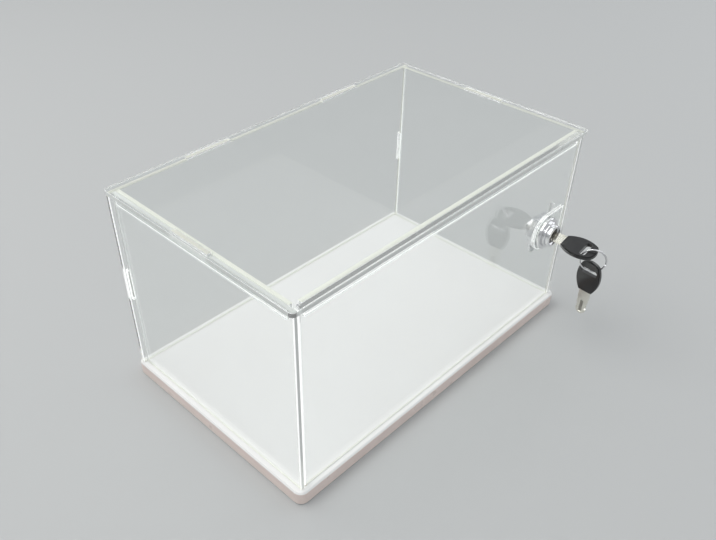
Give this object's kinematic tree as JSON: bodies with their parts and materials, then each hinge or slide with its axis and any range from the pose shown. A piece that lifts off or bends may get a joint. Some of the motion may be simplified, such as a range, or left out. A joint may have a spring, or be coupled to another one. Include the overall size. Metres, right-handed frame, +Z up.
{
  "type": "display case",
  "caption": "Low clear display case on a white board, with a pivoted clear front door, a cam lock and two ringed keys.",
  "frame": {"origin": "centre of the base board's underside, on the table", "axes": "+X along the length towards the lock, +Y to the back panel, -Y out of the door, +Z up"},
  "size_m": [0.284, 0.2189, 0.154],
  "materials": {
    "white_board": "white, glossy",
    "clear_sheet": "clear, polished faces and bright cut edges",
    "steel": "bright",
    "nylon": "natural",
    "lock_chrome": "polished plating",
    "zinc_plate": "zinc plated",
    "wafer_brass": "plain",
    "key_nickel": "nickel plated",
    "bow_black": "moulded, semi-gloss"
  },
  "bodies": {
    "case": {"base_board": "white_board", "top_panel": "clear_sheet", "back_panel": "clear_sheet", "left_panel": "clear_sheet", "right_panel": "clear_sheet", "front_top_strip": "clear_sheet", "left_top_strip": "clear_sheet"},
    "door": {"front_door": "clear_sheet", "door_pivot_pins": "steel", "pivot_washer": "nylon", "lock_plate": "clear_sheet", "lock_body": "lock_chrome", "lock_washer": "zinc_plate", "lock_nut": "zinc_plate"},
    "plug": {"lock_plug": "lock_chrome", "wafer_springs": "steel", "turn_stop": "zinc_plate", "cam": "zinc_plate", "cam_washer": "zinc_plate", "cam_screw": "zinc_plate"},
    "wafers": {"wafers": "wafer_brass"},
    "key": {"key_blade": "key_nickel", "key_bow": "bow_black"},
    "ring": {"key_ring": "steel"},
    "spare": {"spare_key_blade": "key_nickel", "spare_key_bow": "bow_black"}
  },
  "joints": [
    {"name": "door_swing", "type": "hinge", "parent": "case", "child": "door", "pos_m": [-0.1331, -0.0815, 0.081], "axis": [0, 0, -1], "range_deg": [0, 97]},
    {"name": "plug_turn", "type": "hinge", "parent": "door", "child": "plug", "pos_m": [0.1135, -0.08, 0.08], "axis": [0, -1, 0], "range_deg": [0, 90]},
    {"name": "key_slide", "type": "slide", "parent": "plug", "child": "key", "axis": [0, -1, 0], "range_m": [0, 0.025]},
    {"name": "wafer_slide", "type": "slide", "parent": "plug", "child": "wafers", "axis": [0.9781, 0, 0.2079], "range_m": [0, 0.0008]},
    {"name": "ring_turn", "type": "hinge", "parent": "key", "child": "ring", "pos_m": [0.1139, -0.1225, 0.07458], "axis": [-0.8988, -0.4384, 0], "range_deg": [-15, 15]},
    {"name": "spare_swing", "type": "hinge", "parent": "ring", "child": "spare", "pos_m": [0.1139, -0.1225, 0.06548], "axis": [0.4384, -0.8988, 0], "range_deg": [-12, 12]}
  ],
  "couplings": [
    {"joint": "wafer_slide", "follows": "key_slide", "ratio": 0.032}
  ]
}
